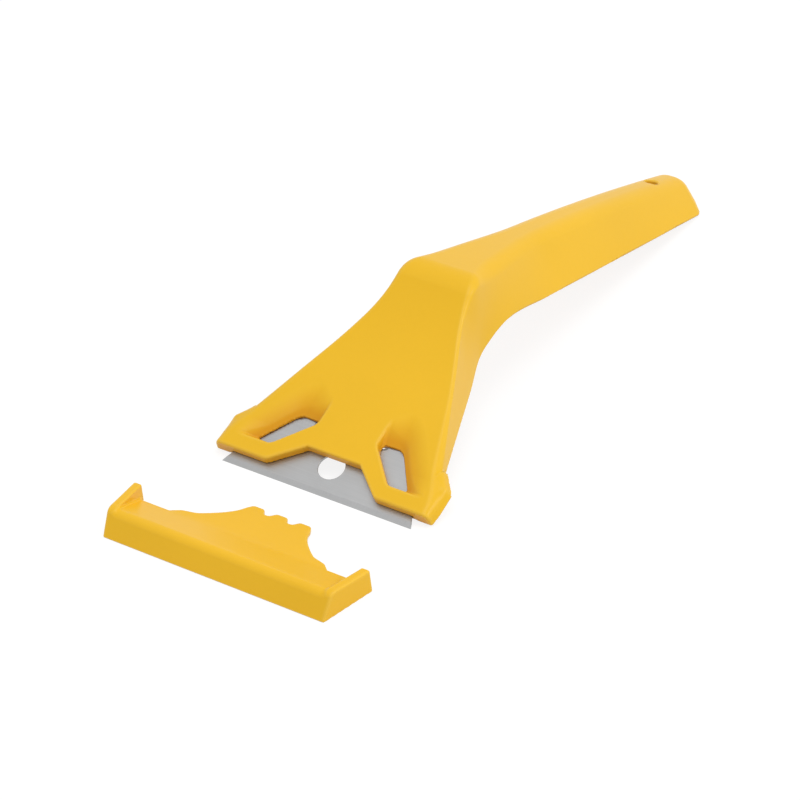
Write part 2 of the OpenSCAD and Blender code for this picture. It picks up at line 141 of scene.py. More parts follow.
# %% [markdown]
# ## From a distance to a skin
# The skin is where the distance is nought. A grid of boxes is laid over the piece, each box that the skin
# passes through gets one point, and four neighbouring boxes make one face. The points are then slid onto
# the skin along its slope and evened out, so that even a coarse grid gives a smooth face. The slope of the
# distance is also the exact normal of the skin.

# %% Points onto the skin
LEAST_SLOPE = 0.05


def slope(field, p, step=0.01):
    """Gradient of the field at points p, from central differences."""
    parts = []
    for axis in np.eye(3) * step:
        ahead, behind = p + axis, p - axis
        parts.append(field(*ahead.T) - field(*behind.T))
    return np.stack(parts, 1) / (2 * step)


def slide(field, p, reach, times):
    """Moves points onto the skin: each step is the field over its slope, along the slope, reach at most."""
    for _ in range(times):
        g = slope(field, p)
        move = (field(*p.T) / np.maximum((g * g).sum(1), LEAST_SLOPE))[:, None] * g
        size = np.maximum(np.linalg.norm(move, axis=1, keepdims=True), TINY)
        p = p - move * np.minimum(1, reach / size)
    return p


def ball(x, y, z):
    """Distance from a ball of 10 mm radius, to try the helpers on."""
    return np.sqrt(x * x + y * y + z * z) - 10


print("a point slid onto a ball:", slide(ball, np.array([[9.0, 3.0, 2.0]]), 1.0, 3).round(2)[0])

# %% Faces between boxes, evened out


def grid_faces(inside, numbers):
    """One face round each grid edge that the skin crosses, through the points of the four boxes about it,
    turned so that it faces from inside to outside."""
    faces = []
    for axis in range(3):
        b, c = (axis + 1) % 3, (axis + 2) % 3
        first = np.moveaxis(inside, (axis, b, c), (0, 1, 2))
        box = np.moveaxis(numbers, (axis, b, c), (0, 1, 2))
        change = first[:-1, 1:-1, 1:-1] != first[1:, 1:-1, 1:-1]
        i, j, k = np.nonzero(change)
        quad = np.stack([box[i, j, k], box[i, j + 1, k], box[i, j + 1, k + 1], box[i, j, k + 1]], 1)
        leaving = first[i, j + 1, k + 1]
        faces.append(np.where(leaving[:, None], quad, quad[:, ::-1]))
    return np.concatenate(faces)


def even_out(field, p, faces, reach, times=3):
    """Spreads points evenly: each moves half of the way to the mean of its neighbours, along the skin."""
    a, b = faces.ravel(), np.roll(faces, -1, axis=1).ravel()
    ends, others = np.concatenate([a, b]), np.concatenate([b, a])
    count = np.bincount(ends, minlength=len(p))[:, None]
    for _ in range(times):
        mean = np.stack([np.bincount(ends, p[others, i], len(p)) for i in range(3)], 1) / count
        g = slope(field, p)
        g /= np.maximum(np.linalg.norm(g, axis=1, keepdims=True), TINY)
        pull = mean - p
        p = slide(field, p + 0.5 * (pull - (pull * g).sum(1, keepdims=True) * g), reach, 1)
    return p


# %% Skin of a distance


def spaced(start, stop, step):
    """Evenly spaced grid lines from start to stop, about a step apart."""
    return np.linspace(start, stop, int(np.ceil((stop - start) / step)) + 1)


def skin_of(field, xs, ys, zs):
    """Points, faces and normals of the surface field = 0, on the grid xs, ys, zs."""
    f = field(xs[:, None, None], ys[None, :, None], zs[None, None, :])
    inside = f < 0
    corners = np.array([(i, j, k) for i in (0, 1) for j in (0, 1) for k in (0, 1)])
    n = np.array(f.shape) - 1
    held = sum(inside[i:n[0] + i, j:n[1] + j, k:n[2] + k].astype(np.int8) for i, j, k in corners)
    cells = np.argwhere((held > 0) & (held < 8))
    numbers = np.full(n, -1)
    numbers[tuple(cells.T)] = np.arange(len(cells))
    axes = (xs, ys, zs)
    total, hits = np.zeros((len(cells), 3)), np.zeros(len(cells))
    for a in corners:
        for axis in np.eye(3, dtype=int)[a == 0]:
            i, j = cells + a, cells + a + axis
            fa, fb = f[tuple(i.T)], f[tuple(j.T)]
            pa = np.stack([axes[d][i[:, d]] for d in range(3)], 1)
            pb = np.stack([axes[d][j[:, d]] for d in range(3)], 1)
            cross = (fa < 0) != (fb < 0)
            t = np.where(cross, fa / np.where(cross, fa - fb, 1), 0)[:, None]
            total += np.where(cross[:, None], pa + t * (pb - pa), 0)
            hits += cross
    reach = float(np.diff(xs).min())
    faces = grid_faces(inside, numbers)
    p = slide(field, total / hits[:, None], reach, 3)
    p = even_out(field, p, faces, reach)
    normals = slope(field, p)
    return p, faces, normals / np.maximum(np.linalg.norm(normals, axis=1, keepdims=True), TINY)


lines = spaced(-11, 11, 2)
print("skin of the ball:", len(skin_of(ball, lines, lines, lines)[0]), "points")

# %% [markdown]
# ## From a skin to a piece
# A piece is a mesh in metres that rides on a body of the frame and stands for its CAD node. Its finish
# wants to know two things at each point: how sharply the skin bulges there, which marks the edges, and how
# deep it lies in a recess. Both are kept on the mesh as values.

# %% Making a piece
FULL_EDGE_R = 0.75


def bend_of(p, faces, normals):
    """How strongly the skin bulges at each point: how far the mean of its neighbours lies below the point,
    over the square of their distance. An edge of radius r gives about 1 / (4 r)."""
    a, b = faces.ravel(), np.roll(faces, -1, axis=1).ravel()
    ends, others = np.concatenate([a, b]), np.concatenate([b, a])
    away = p[others] - p[ends]
    count = np.bincount(ends, minlength=len(p))
    depth = -np.bincount(ends, (away * normals[ends]).sum(1), len(p)) / count
    reach = np.bincount(ends, (away * away).sum(1), len(p)) / count
    return depth / reach


def make_piece(name, points, faces, body, normals=None, recess=0.0):
    """Puts points in table millimetres into a mesh in metres, rides it on a body and lets it stand for the
    CAD node of that body. Given normals make it smooth and give it the edge and recess values that its
    finish reads; an edge of radius FULL_EDGE_R or less counts in full."""
    mesh = bpy.data.meshes.new(name)
    co = (points - [0, MID_Y, 0]) * MM
    mesh.from_pydata(co.tolist(), [], faces.tolist())
    mesh.polygons.foreach_set("use_smooth", np.full(len(mesh.polygons), normals is not None))
    if normals is not None:
        values = (("edge", bend_of(points, faces, normals) * 4 * FULL_EDGE_R), ("recess", recess))
        for kind, value in values:
            value = (np.clip(value, 0, 1) * np.ones(len(points))).astype(np.float32)
            mesh.attributes.new(kind, "FLOAT", "POINT").data.foreach_set("value", value)
        mesh.normals_split_custom_set_from_vertices(normals.tolist())
    mesh.update()
    piece = bpy.data.objects.new(name, mesh)
    bpy.context.scene.collection.objects.link(piece)
    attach(piece, body)
    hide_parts(body)
    print(name, len(co), "points", len(faces), "faces", "box", co.min(0).round(4), co.max(0).round(4))
    return piece


# %% [markdown]
# ## The moulding's outer skin
# Seen from the side, the top of the tool is one line: flat along the face, hollow up the neck, round over
# the ridge and down the handle, a little steeper towards the far end. Seen from above, the head narrows to
# a waist and the handle's top narrows to a slim, rounded back. Each section across the tool is an arch
# between that top line and the walls' lower edge.

# %% Sizes of the side line and the plan
LIP_BACK, FACE_LIFT, FLAT_LEN, FACE_LEN = 3.4, 3.0, 34.0, 68.0
NECK_RADIUS, RIDGE_SOFT = 100.0, 3.8
HEAD_W, SHOULDER_W, WAIST_W, RIDGE_W = 68.0, 61.4, 29.0, 23.6
SHOULDER_LEN, WAIST_BACK = 11.5, 52.0
SCRAPER_LEN, GRIP_W, HANDLE_END_W, HANDLE_FOOT_W = 198.0, 11.8, 6.8, 24.0
FLARE_LEN, FLARE_POWER = 43.0, 1.3
RIDGE = np.array(on_table(LIP_BACK + FACE_LEN, FACE_LIFT + NECK_RADIUS
                          - np.sqrt(NECK_RADIUS ** 2 - (FACE_LEN - FLAT_LEN) ** 2)))
HANDLE_SLOPE = np.tan(np.radians(9.0))
HANDLE_RUN, HANDLE_END_H = SCRAPER_LEN - RIDGE[0], 8.4
STEEPENING = 2 * (RIDGE[1] - HANDLE_END_H - HANDLE_RUN * HANDLE_SLOPE) / HANDLE_RUN ** 2
print("ridge at", RIDGE.round(2), "mm")

# %% The face


def face_half(v):
    """Half the face's width at v behind the lip: a parabola round the shoulder, a straight taper, and a
    parabola that eases into the waist."""
    taper = (SHOULDER_W - WAIST_W) / 2 / (WAIST_BACK - SHOULDER_LEN)
    ease = (WAIST_W - RIDGE_W) / taper
    s = np.clip(v - WAIST_BACK, 0, ease)
    shoulder = (HEAD_W - (HEAD_W - SHOULDER_W) * (np.maximum(v, 0) / SHOULDER_LEN) ** 2) / 2
    straight = SHOULDER_W / 2 - taper * (np.minimum(v, WAIST_BACK) - SHOULDER_LEN)
    return np.where(v < SHOULDER_LEN, shoulder, straight - taper * s + taper * s * s / ease / 2)


def face_height(v):
    """Height of the face above the blade at v behind the lip: flat, then a circle's hollow."""
    run = np.clip(v - FLAT_LEN, 0, NECK_RADIUS)
    return FACE_LIFT + NECK_RADIUS - np.sqrt(NECK_RADIUS ** 2 - run ** 2)


print("face at the ridge:", round(2 * float(face_half(FACE_LEN)), 2), "mm wide,",
      round(float(face_height(FACE_LEN)), 2), "mm above the blade's plane")

# %% The handle's top


def along_handle(y):
    """How far y lies along the handle: 0 at the ridge, 1 at the far end."""
    return (y - RIDGE[0]) / HANDLE_RUN


def handle_slope(y):
    """Fall of the handle's top at y, which grows evenly towards the far end."""
    return HANDLE_SLOPE + STEEPENING * (y - RIDGE[0])


def handle_top(y):
    """Height of the handle's top line at y: a parabola that starts at the ridge."""
    return RIDGE[1] - (y - RIDGE[0]) * (HANDLE_SLOPE + handle_slope(y)) / 2


def handle_half(y):
    """Half the width of the handle's top: a straight taper, and a flare that grows towards the ridge."""
    flare = np.maximum(0, 1 - np.maximum(0, y - RIDGE[0]) / FLARE_LEN) ** FLARE_POWER
    taper = (HANDLE_END_W - GRIP_W) * np.maximum(0, along_handle(y))
    return (GRIP_W + taper + (RIDGE_W - GRIP_W) * flare) / 2


def top_distance(y, z):
    """Distance from the tool's top line: below the flat or the neck's circle, and below the handle's line,
    with the ridge between them rounded."""
    v, w = along_blade(y, z)
    flat_end = LIP_BACK + FLAT_LEN
    neck = NECK_RADIUS - np.hypot(v - flat_end, w - FACE_LIFT - NECK_RADIUS)
    face = np.where(v < flat_end, w - FACE_LIFT, neck)
    handle = (z - handle_top(y)) / np.hypot(1, handle_slope(y))
    return both(face, handle, RIDGE_SOFT)


print("handle top at the far end:", round(float(handle_top(SCRAPER_LEN)), 2), "mm")

# %% [markdown]
# ## The walls' lower edge
# Under the head the walls are shallow. Under the ridge their lower edge rises in an arch, where the fingers
# go, and then it runs straight down to the far end, which rests on the table. Below the face the walls lean
# outwards, as the mould's draft needs.

# %% Lower edge of the walls
LIP_DROP, SKIRT_DROP, SKIRT_BACK = 1.1, 2.0, 19.7
ARCH_FROM, ARCH_TOP, ARCH_TO, ARCH_H, FOOT_LEN = 47.0, 75.0, 96.0, 20.8, 4.0
SKIRT_SLOPE, DRAFT = np.tan(np.radians(10.6)), np.tan(np.radians(4.0))
SKIRT_FROM = np.array(on_table(SKIRT_BACK, -SKIRT_DROP))
LIP_FROM = np.array(on_table(LIP_BACK, -LIP_DROP))
KEEL_STEEPER = 1.01
KEEL_SLOPE = ARCH_H / (SCRAPER_LEN - FOOT_LEN - ARCH_TOP) * KEEL_STEEPER


def smooth_step(u, a, b, slope_a, slope_b):
    """A cubic from a to b as u goes from 0 to 1, with the given slopes at its ends."""
    return (a * (1 - 3 * u ** 2 + 2 * u ** 3) + b * (3 * u ** 2 - 2 * u ** 3)
            + slope_a * (u - 2 * u ** 2 + u ** 3) + slope_b * (u ** 3 - u ** 2))


def lower_edge(y):
    """Height of the walls' lower edge at y: two straight lines under the head, two cubics round the arch
    and a straight line down to the foot."""
    lip_slope = (SKIRT_FROM[1] - LIP_FROM[1]) / (SKIRT_FROM[0] - LIP_FROM[0])
    lip = SKIRT_FROM[1] + (y - SKIRT_FROM[0]) * lip_slope
    skirt = SKIRT_FROM[1] + (y - SKIRT_FROM[0]) * SKIRT_SLOPE
    skirt_end = SKIRT_FROM[1] + (ARCH_FROM - SKIRT_FROM[0]) * SKIRT_SLOPE
    keel = np.maximum(0, (SCRAPER_LEN - FOOT_LEN - y) * KEEL_SLOPE)
    keel_start = (SCRAPER_LEN - FOOT_LEN - ARCH_TO) * KEEL_SLOPE
    rise, fall = ARCH_TOP - ARCH_FROM, ARCH_TO - ARCH_TOP
    up = smooth_step((y - ARCH_FROM) / rise, skirt_end, ARCH_H, SKIRT_SLOPE * rise, 0)
    down = smooth_step((y - ARCH_TOP) / fall, ARCH_H, keel_start, 0, -KEEL_SLOPE * fall)
    ends = (SKIRT_FROM[0], ARCH_FROM, ARCH_TOP, ARCH_TO)
    return np.select([y < end for end in ends], [lip, skirt, up, down], keel)


print("lower edge at the arch:", round(float(lower_edge(np.array(ARCH_TOP))), 2), "mm")

# %% [markdown]
# ## Tables along the tool
# Width, height and lean of the section change only along the tool, so they are worked out once, on a fine
# row of y values, and looked up afterwards. Where two lines of the plan meet in a kink, a running mean
# eases it, as polishing does in the mould.

# %% Width of the walls, and the tables
TABLE_FROM, TABLE_TO, TABLE_STEP, EASE_REACH, FACE_POINTS = -12.0, 216.0, 0.1, 5.0, 800
PAST_END = 1.1


def lower_half(y):
    """Half the width across the walls' lower edges: the face's own outline, widened by the draft, and past
    the ridge a straight line to the foot."""
    def under_head(at):
        v, w = along_blade(at, lower_edge(at))
        return face_half(v - LIP_BACK) + (face_height(v - LIP_BACK) - w) * DRAFT
    start = under_head(RIDGE[0])
    past_ridge = start + (HANDLE_FOOT_W / 2 - start) * np.clip(along_handle(y), 0, PAST_END)
    return np.where(y < RIDGE[0], under_head(np.minimum(y, RIDGE[0])), past_ridge)


def eased(values):
    """The same table with its kinks eased: each value becomes a mean over a reach to either side, weighted
    by a raised cosine."""
    n = int(EASE_REACH / (TABLE_Y[1] - TABLE_Y[0]))
    weight = 1 + np.cos(np.pi * np.arange(-n, n + 1) / n)
    return np.convolve(np.pad(values, n, mode="edge"), weight / weight.sum(), "valid")


TABLE_Y = spaced(TABLE_FROM, TABLE_TO, TABLE_STEP)
v_line = np.linspace(TABLE_FROM, FACE_LEN, FACE_POINTS)
face_y, face_z = on_table(LIP_BACK + v_line, face_height(v_line))
on_head = TABLE_Y < RIDGE[0]
HALF_TOP = eased(np.where(on_head, np.interp(TABLE_Y, face_y, face_half(v_line)), handle_half(TABLE_Y)))
TOP_Z = eased(np.where(on_head, np.interp(TABLE_Y, face_y, face_z), handle_top(TABLE_Y)))
HALF_LOW, LOW_Z = eased(lower_half(TABLE_Y)), lower_edge(TABLE_Y)
LEAN = (HALF_LOW - HALF_TOP) / (TOP_Z - LOW_Z)
SIDE_SLOPE = np.gradient((HALF_TOP + HALF_LOW) / 2, TABLE_Y)
LOW_SLOPE = np.gradient(LOW_Z, TABLE_Y)
print("tables of", len(TABLE_Y), "rows, walls lean by up to",
      round(float(np.degrees(np.arctan(LEAN.max()))), 1), "degrees")

# %% [markdown]
# ## Rounded shoulders
# Where the top meets the walls, the edge is crisp on the head and well rounded on the handle, which fills
# the hand. The radius grows from just before the ridge to the far end, and it is a little larger again near
# the lip.

# %% Shoulders and outer skin
HEAD_ROUND, LIP_ROUND, GRIP_ROUND, END_ROUND, MOST_OF_TOP = 0.9, 1.3, 3.9, 1.6, 0.95
ROUND_LEN, ROUND_BEFORE, LIP_ROUND_TO, COS_BEFORE = 24.0, 10.0, 36.0, 12.0
MIDDLE_SOFT = 0.3
FAR_END_Z, FAR_END_R = (0, 3, 8), (9, 7, 5.5)


def level_step(u):
    """A cubic from 0 to 1 as u goes from 0 to 1, level at both ends and beyond them."""
    u = np.clip(u, 0, 1)
    return u ** 2 * (3 - 2 * u)


# Tables over y: radius of the shoulders, and the cosine between the top's and the walls' normals.
LEAN_ANGLE = np.arctan(LEAN)
SHOULDER = HEAD_ROUND + GRIP_ROUND * level_step((TABLE_Y - RIDGE[0] + ROUND_BEFORE) / ROUND_LEN)
SHOULDER += END_ROUND * np.maximum(0, along_handle(TABLE_Y))
SHOULDER += LIP_ROUND * level_step((LIP_ROUND_TO - TABLE_Y) / ROUND_LEN)
SHOULDER = np.minimum(SHOULDER, MOST_OF_TOP * HALF_TOP * np.tan(np.pi / 4 + LEAN_ANGLE / 2))
SHOULDER_COS = np.sin(LEAN_ANGLE) * np.clip((TABLE_Y - RIDGE[0] + COS_BEFORE) / COS_BEFORE, 0, 1)


def outer_distance(x, y, z):
    """Distance from the outer skin: inside the leaning walls and below the top line, with the shoulders
    rounded, and before the far end, whose corners are round at the foot and tighter at the top."""
    tables = (HALF_TOP, TOP_Z, LEAN, SIDE_SLOPE, SHOULDER, SHOULDER_COS)
    half_top, top_z, lean, run, r, c = [np.interp(y, TABLE_Y, t) for t in tables]
    side = (np.hypot(x, MIDDLE_SOFT) - half_top - lean * (top_z - z)) / np.sqrt(1 + lean ** 2 + run ** 2)
    arch = both_leaning(side, top_distance(y, z), r, c)
    return both(arch, y - SCRAPER_LEN, np.interp(z, FAR_END_Z, FAR_END_R))


print("shoulder radius from", round(float(SHOULDER.min()), 2), "to", round(float(SHOULDER.max()), 2), "mm")

# %% [markdown]
# ## Windows and ears
# The face has a notch in its lip and two windows, so that the steel can be seen. Each window has five walls
# that lean in towards the blade; the back one and the outer one are long, soft ramps. At the lip's two ends
# the side walls flare out into ears.

# %% Walls of a window
WINDOW_FACE = np.array([(9.4, 26.0), (16.2, 26.4), (28.9, 8.2), (18.8, 8.2), (9.4, 18.4)])
WINDOW_FOOT = np.array([(10.2, 20.0), (16.2, 20.0), (24.0, 9.0), (18.0, 9.0), (10.2, 17.6)])
FOOT_W = 0.95
WINDOW_CORNER_R, WINDOW_EDGE_R, RAMP_EDGE_R = 0.7, 0.5, 1.8
TIGHT_FROM, RAMP_FROM = -1.0, -5.0
SHARP_BELOW, SHARP_RUN, SHARP_SHARE = 0.7, 1.6, 0.08


def window_walls():
    """Plane of each window wall, as a normal and an offset, through its edge on the face and the middle of
    its foot, a little above the blade."""
    walls = []
    for i in range(len(WINDOW_FACE)):
        k = (i + 1) % len(WINDOW_FACE)
        a, b = np.append(WINDOW_FACE[i], FACE_LIFT), np.append(WINDOW_FACE[k], FACE_LIFT)
        foot = np.append((WINDOW_FOOT[i] + WINDOW_FOOT[k]) / 2, FOOT_W)
        n = np.cross(foot - a, b - a)
        n /= np.linalg.norm(n)
        walls.append((n, n @ a))
    inside = np.append(WINDOW_FOOT.mean(0), FACE_LIFT / 2)
    return [(n, d) if n @ inside < d else (-n, -d) for n, d in walls]


WINDOW_WALLS = window_walls()


def window_distance(x, v, w):
    """Distance from one window, inside its five leaning walls, which stand upright below their feet, and
    the radius of its edge: tight along its front and inner sides, soft above its two ramps, sharp at the
    blade."""
    walls = [n[0] * x + n[1] * v + n[2] * np.maximum(w, FOOT_W) - offset for n, offset in WINDOW_WALLS]
    d = -w + 0 * x
    for wall in walls:
        d = both(d, wall, WINDOW_CORNER_R)
    tight = np.maximum(np.maximum(walls[2], walls[3]), walls[4])
    edge_r = np.interp(tight, [RAMP_FROM, TIGHT_FROM], [RAMP_EDGE_R, WINDOW_EDGE_R])
    return d, edge_r * np.clip((w - SHARP_BELOW) / SHARP_RUN, SHARP_SHARE, 1)


leans = [float(np.degrees(np.arccos(abs(n[2])))) for n, _ in WINDOW_WALLS]
print("window walls rise at", np.round(leans, 1), "degrees")

# %% Ears
EAR_REACH, EAR_FROM, EAR_TOP, EAR_FOOT = 35.0, 30.0, 2.2, 0.2 - LIP_DROP
EAR_LEAN, EAR_FRONT, EAR_BACK, EAR_FRONT_SET, EAR_BACK_V = 0.55, 0.42, 0.8, 1.0, 13.3
EAR_TIP_R, EAR_BACK_R, EAR_TOP_R, EAR_FOOT_R = 0.8, 0.3, 1.2, 0.3


def ear_distance(x, v, w):
    """Distance from an ear: an outline at the head's front corner that draws in as it rises, so that the
    side wall flares out to a point at its foot."""
    out = x + EAR_LEAN * (w + LIP_DROP) - EAR_REACH
    front = (out + EAR_FRONT_SET - (v - LIP_BACK) * EAR_FRONT) / np.hypot(1, EAR_FRONT)
    back = (out + (v - EAR_BACK_V) * EAR_BACK) / np.hypot(1, EAR_BACK)
    ear = both(both(out / np.hypot(1, EAR_LEAN), front, EAR_TIP_R), back, EAR_BACK_R)
    ear = both(both(ear, w - EAR_TOP, EAR_TOP_R), EAR_FOOT - w, EAR_FOOT_R)
    return np.maximum(ear, EAR_FROM - x)


print("ears reach", 2 * EAR_REACH, "mm across")

# %% [markdown]
# ## The whole moulding
# Under the face lies a narrow slot for the blade, with a ledge on each side, and behind it the moulding is
# hollow, as mouldings of this kind are. Near the far end a hanging hole goes through, with a collar round
# it on the inside. Here everything is joined to the outer skin or taken out of it, one after the other.

# %% The moulding as a distance
WALL = 2.2
BLADE_DEPTH, BLADE_EDGE, BLADE_SLANT = 20.2, 60.0, np.tan(np.radians(25.0))
SLOT_HALF, SLOT_BACK, SLOT_CLEAR, SEAT_OPEN_HALF = 0.36, 20.5, 0.3, 13.0
HOLLOW_FROM = SLOT_BACK + 2 * WALL
HANG_Y, HANG_R, HANG_LEN, COLLAR_R, COLLAR_MID = 180.5, 2.0, 4.0, 3.7, 2.8
NOTCH_HALF, NOTCH_BASE_HALF, NOTCH_BACK = 21.27, 8.3, 11.1
NOTCH = np.array([(-NOTCH_HALF, 0), (NOTCH_HALF, 0), (NOTCH_BASE_HALF, NOTCH_BACK),
                  (-NOTCH_BASE_HALF, NOTCH_BACK)])
RIM_R, LIP_R, HOLLOW_ROOT_R, EAR_ROOT_R, COLLAR_EDGE_R = 0.6, 0.7, 1.2, 0.9, 0.4
NOTCH_FOOT_R, SLOT_R, SEAT_R = 0.2, 0.15, 0.3


def hang_hole(x, y, z):
    """Distance from the hanging hole's axis, which stands square to the handle's top, and the depth below
    that top."""
    tilt = np.arctan(handle_slope(HANG_Y))
    back, up = y - HANG_Y, z - handle_top(HANG_Y)
    return (np.hypot(x, back * np.cos(tilt) - up * np.sin(tilt)),
            -(back * np.sin(tilt) + up * np.cos(tilt)))


def blade_seat(x, v, w):
    """Distances from the blade's slot, which has the blade's outline and a little room, and from the
    opening in the floor below it."""
    side = (x - BLADE_EDGE / 2 + v * BLADE_SLANT) / np.hypot(1, BLADE_SLANT) - SLOT_CLEAR
    slot = np.maximum(np.maximum(np.abs(w) - SLOT_HALF, side), v - SLOT_BACK)
    return slot, np.maximum(np.maximum(x - SEAT_OPEN_HALF, v - SLOT_BACK), w)


def moulding_distance(x, y, z):
    """Distance from the whole moulding: outer skin, cut at the walls' lower edge and at the lip, without
    hollow, notch, slot, seat opening, windows and hanging hole, and with its ears and collar."""
    x = np.abs(x)
    v, w = along_blade(y, z)
    low_z, low_slope = np.interp(y, TABLE_Y, LOW_Z), np.interp(y, TABLE_Y, LOW_SLOPE)
    outer = outer_distance(x, y, z)
    d = both(outer, (low_z - z) / np.sqrt(1 + low_slope ** 2), RIM_R)
    d = without(d, both(outer + WALL, HOLLOW_FROM - v + 0 * x, HOLLOW_ROOT_R), RIM_R)
    d = either(d, ear_distance(x, v, w), EAR_ROOT_R)
    radius, depth = hang_hole(x, y, z)
    collar = both(radius - COLLAR_R, np.abs(depth - COLLAR_MID) - HANG_LEN + COLLAR_MID, COLLAR_EDGE_R)
    d = either(d, collar, RIM_R)
    d = both(d, LIP_BACK - v, LIP_R)
    d = without(d, both(outline_distance(x, v, NOTCH), -w, NOTCH_FOOT_R), RIM_R)
    slot, opening = blade_seat(x, v, w)
    d = without(without(d, slot, SLOT_R), opening, SEAT_R)
    d = without(d, *window_distance(x, v, w))
    return without(d, radius - HANG_R, RIM_R)


# %% Mesh of the moulding
# The grid is close on the head and wider along the plain handle. The recess value is how deep a point lies
# below the outer skin, and counts in full at RECESS_DEPTH; the finish paints shade into the recesses by it.
HEAD_TO, ACROSS_STEP, HEAD_STEP, HANDLE_STEP, UP_STEP = 66, 0.48, 0.45, 1.2, 0.43
RECESS_DEPTH = 1.5
xs = spaced(-36, 36, ACROSS_STEP)
ys = np.concatenate([spaced(0, HEAD_TO, HEAD_STEP), spaced(HEAD_TO, 200, HANDLE_STEP)[1:]])
zs = spaced(-1, 40, UP_STEP)
points, faces, normals = skin_of(moulding_distance, xs, ys, zs)
sunk = -outer_distance(np.abs(points[:, 0]), points[:, 1], points[:, 2])
moulding = make_piece("handle_moulding", points, faces, "handle", normals, sunk / RECESS_DEPTH)

# %% [markdown]
# ## The loose cover
# The cover lies on the table as it does when it is taken off: a low front wall that leans back, a roof that
# falls away behind it, an end wall on each side and, in the middle of the roof's rear edge, a thumb tab
# with three blunt teeth. It is made in the same way, with a softer front edge than the head's.

# %% Sizes of the cover
COVER_FRONT_W, COVER_REAR_W, COVER_DEPTH = 68.6, 74.0, 18.3
COVER_FRONT_H, COVER_SET, COVER_POST_H, POST_LEAN = 7.3, 3.3, 6.8, 0.15
ROOF_SLOPE, ROOF_THICK, ROOF_LEN, FOLD_SOFT = np.tan(np.radians(19.0)), 1.5, 16.0, 0.2
COVER_WALL, POST_WALL = 1.4, 2.5
TAB_SLOPE, TAB_THICK, TAB_STEP, TAB_LEN = np.tan(np.radians(5.5)), 1.3, 3.4, 10.1
TAB_ROOT_W, TAB_BASE_W, TAB_TIP_W, TAB_UNDER, TAB_POWER = 49.4, 36.7, 20.4, 2.0, 1.6
TOOTH_LEN, TOOTH_ROOT_W, TOOTH_TIP_W, TOOTH_CUT = 2.2, 5.8, 3.4, 0.7
POST_R, POST_ROOT_R, ROOF_END_R, FRONT_R, END_R, TABLE_R = 0.4, 0.8, 0.5, 2.2, 0.6, 0.25
UNDER_FRONT_R, UNDER_END_R, UNDER_RIM_R, TAB_R = 0.8, 0.6, 0.3, 0.35
print("cover", COVER_REAR_W, "mm wide and", COVER_FRONT_H, "mm high")

# %% Side view and thumb tab


def plate_height(y):
    """Height of the roof's and the tab's upper face at y behind the cover's front edge: the higher of the
    roof's line and the tab's, with the fold between them eased."""
    fold = COVER_FRONT_H - (ROOF_LEN - COVER_SET) * ROOF_SLOPE
    roof, tab = fold - (y - ROOF_LEN) * ROOF_SLOPE, fold - (y - ROOF_LEN) * TAB_SLOPE
    return (roof + tab) / 2 + np.hypot((roof - tab) / 2, FOLD_SOFT)


def line_distance(y, z, a, b):
    """Signed distance from the line through a and b in the side view, positive on its left."""
    (ay, az), (by, bz) = a, b
    return ((by - ay) * (z - az) - (bz - az) * (y - ay)) / np.hypot(by - ay, bz - az)


def tab_outline():
    """Plan of the thumb tab: a stepped root, sides that curve in as a power of the way along, and three
    teeth."""
    base, root = ROOF_LEN + TAB_STEP, ROOF_LEN + TAB_STEP + TAB_LEN
    s = np.linspace(0, 1, 9)
    half = TAB_TIP_W / 2 + (TAB_BASE_W - TAB_TIP_W) / 2 * (1 - s) ** TAB_POWER
    side = np.stack([half, base + TAB_LEN * s], 1)
    start = [(TAB_ROOT_W / 2, ROOF_LEN - TAB_UNDER), (TAB_ROOT_W / 2, ROOF_LEN),
             ((TAB_ROOT_W + TAB_BASE_W) / 4 + TAB_STEP / 4, ROOF_LEN + TAB_STEP * 2 / 3)]
    pitch = (TAB_TIP_W - TOOTH_ROOT_W) / 2
    tooth = np.array([(TOOTH_ROOT_W / 2, 0), (TOOTH_TIP_W / 2, TOOTH_LEN), (-TOOTH_TIP_W / 2, TOOTH_LEN),
                      (-TOOTH_ROOT_W / 2, 0)])
    teeth = np.concatenate([tooth + (x, root) for x in (pitch, 0, -pitch)])
    right = np.concatenate([start, side[:-1]])
    return np.concatenate([right, teeth, (right * (-1, 1))[::-1]])


TAB = soft_corners(tab_outline(), TOOTH_CUT)
print("tab outline:", len(TAB), "points")

# %% The cover as a distance


def cover_distance(x, y, z):
    """Distance from the cover: below the roof or inside an end wall, behind the leaning front, between the
    two ends and above the table, without the hollow under the roof, and with the thumb tab."""
    x, y = np.abs(x), y - COVER_Y
    spread = (COVER_REAR_W - COVER_FRONT_W) / 2 / COVER_DEPTH
    ends = (x - COVER_FRONT_W / 2 - spread * y) / np.hypot(1, spread)
    post_top = (COVER_DEPTH - POST_LEAN * COVER_POST_H, COVER_POST_H)
    front = line_distance(y, z, (0, 0), (COVER_SET, COVER_FRONT_H))
    top = line_distance(y, z, (COVER_SET, COVER_FRONT_H), post_top)
    rear = line_distance(y, z, post_top, (COVER_DEPTH, 0))
    above = (z - plate_height(y)) / np.hypot(1, ROOF_SLOPE)
    post = both(both(top, rear, POST_R), -ends - POST_WALL, POST_R)
    d = either(both(above, y - ROOF_LEN, ROOF_END_R), post, POST_ROOT_R)
    d = both(both(both(d, front, FRONT_R), ends, END_R), -z, TABLE_R)
    under = both(front + ROOF_THICK, above + ROOF_THICK, UNDER_FRONT_R)
    d = without(d, both(under, ends + COVER_WALL, UNDER_END_R), UNDER_RIM_R)
    tab = both(outline_distance(x, y, TAB), np.abs(above + TAB_THICK / 2) - TAB_THICK / 2, TAB_R)
    return np.minimum(d, tab)


